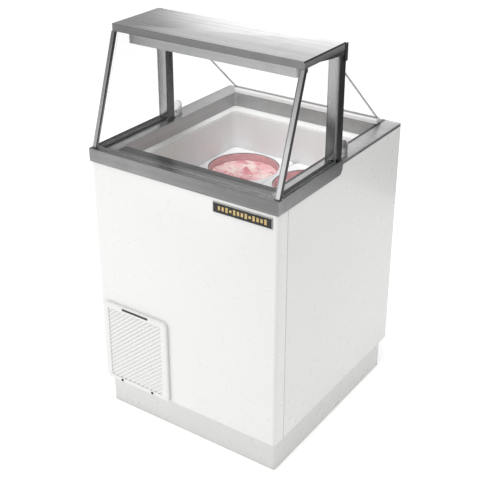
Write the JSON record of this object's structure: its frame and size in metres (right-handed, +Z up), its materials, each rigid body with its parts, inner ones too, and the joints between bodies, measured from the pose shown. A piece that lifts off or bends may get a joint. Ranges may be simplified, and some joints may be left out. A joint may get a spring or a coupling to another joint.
{
  "type": "ice cream dipping cabinet",
  "caption": "White floor-standing ice cream dipping cabinet with round lift-out cans in a chilled tub, a clear sneeze guard under a top shelf, a hinged rear lid and a front air grille.",
  "frame": {"origin": "on the floor under the middle of the cabinet body", "axes": "+Z up; -Y out of the front panel with the air grille, the customer's side; +X to the right seen from the front"},
  "size_m": [0.6646, 0.7471, 1.262],
  "materials": {
    "aluminium": "mill finish",
    "black_plastic": "satin",
    "clear": "clear",
    "copper": "drawn copper tube",
    "dark_metal": "satin black",
    "foam": "foamed in place",
    "grey_paint": "satin",
    "ice_cream": "frozen and scooped",
    "lamp": "opal",
    "liner": "smooth light grey",
    "paper_board": "waxed board",
    "rubber": "matt",
    "stainless": "brushed",
    "white_paint": "smooth semi-gloss enamel",
    "white_plastic": "satin moulded"
  },
  "bodies": {
    "cabinet": {"badge_plate": "black_plastic", "breaker_strip": "white_plastic", "can_rack": "grey_paint", "canopy_shelf": "stainless", "compressor": "black_plastic", "condenser": "aluminium", "cord_gland": "black_plastic", "deck_top": "stainless", "evaporator_coil": "copper", "fan_motor": "dark_metal", "foam_insulation": "foam", "front_channel_left": "stainless", "front_channel_right": "stainless", "front_glass": "clear", "front_panel": "white_paint", "glass_gasket_left": "rubber", "glass_gasket_right": "rubber", "grille": "white_paint", "grille_label": "black_plastic", "grille_screw_1": "dark_metal", "grille_screw_2": "dark_metal", "guard_front_rail": "stainless", "guard_side_rail_left": "stainless", "guard_side_rail_right": "stainless", "lamp_diffuser": "lamp", "lamp_housing": "stainless", "lamp_tube": "lamp", "left_side_panel": "white_paint", "lid_hinge_pin": "stainless", "lid_hinge_strip": "dark_metal", "liquid_line": "copper", "plinth": "white_paint", "post_left": "stainless", "post_right": "stainless", "rear_panel": "white_paint", "right_side_panel": "white_paint", "side_glass_left": "clear", "side_glass_right": "clear", "suction_line": "copper", "thermostat": "grey_paint", "tub_liner": "liner"},
    "lid": {"lid_hinge_leaf": "dark_metal", "lid_panel": "clear", "lid_handle_bar": "white_plastic"},
    "lamp_switch": {"switch_rocker": "black_plastic"},
    "thermostat_dial": {"thermostat_knob": "black_plastic"},
    "fan": {"fan_blade": "aluminium"},
    "skirt_rear_left_body": {"skirt_rear_left": "white_plastic"},
    "can_rear_left_body": {"can_rear_left": "paper_board", "ice_cream_rear_left": "ice_cream"},
    "skirt_rear_right_body": {"skirt_rear_right": "white_plastic"},
    "can_rear_right_body": {"can_rear_right": "paper_board", "ice_cream_rear_right": "ice_cream"},
    "skirt_front_left_body": {"skirt_front_left": "white_plastic"},
    "can_front_left_body": {"can_front_left": "paper_board", "ice_cream_front_left": "ice_cream"},
    "skirt_front_right_body": {"skirt_front_right": "white_plastic"},
    "can_front_right_body": {"can_front_right": "paper_board", "ice_cream_front_right": "ice_cream"}
  },
  "joints": [
    {"name": "lid_hinge", "type": "hinge", "parent": "cabinet", "child": "lid", "pos_m": [0, -0.008, 1.219], "axis": [1, 0, 0], "range_deg": [0, 140]},
    {"name": "lamp_switch_rock", "type": "hinge", "parent": "cabinet", "child": "lamp_switch", "pos_m": [0.205, -0.1488, 1.221], "axis": [1, 0, 0], "range_deg": [0, 14]},
    {"name": "thermostat_turn", "type": "hinge", "parent": "cabinet", "child": "thermostat_dial", "pos_m": [0.215, 0.3583, 0.3], "axis": [0, 1, 0], "range_deg": [0, 270]},
    {"name": "fan_spin", "type": "hinge", "parent": "cabinet", "child": "fan", "pos_m": [-0.188, -0.268, 0.252], "axis": [0, 1, 0], "continuous": true},
    {"name": "skirt_rear_left_lift", "type": "slide", "parent": "cabinet", "child": "skirt_rear_left_body", "axis": [0, 0, 1], "range_m": [0, 0.2]},
    {"name": "can_rear_left_lift", "type": "slide", "parent": "cabinet", "child": "can_rear_left_body", "axis": [0, 0, 1], "range_m": [0, 0.2]},
    {"name": "skirt_rear_right_lift", "type": "slide", "parent": "cabinet", "child": "skirt_rear_right_body", "axis": [0, 0, 1], "range_m": [0, 0.2]},
    {"name": "can_rear_right_lift", "type": "slide", "parent": "cabinet", "child": "can_rear_right_body", "axis": [0, 0, 1], "range_m": [0, 0.2]},
    {"name": "skirt_front_left_lift", "type": "slide", "parent": "cabinet", "child": "skirt_front_left_body", "axis": [0, 0, 1], "range_m": [0, 0.46]},
    {"name": "can_front_left_lift", "type": "slide", "parent": "cabinet", "child": "can_front_left_body", "axis": [0, 0, 1], "range_m": [0, 0.46]},
    {"name": "skirt_front_right_lift", "type": "slide", "parent": "cabinet", "child": "skirt_front_right_body", "axis": [0, 0, 1], "range_m": [0, 0.46]},
    {"name": "can_front_right_lift", "type": "slide", "parent": "cabinet", "child": "can_front_right_body", "axis": [0, 0, 1], "range_m": [0, 0.46]}
  ]
}
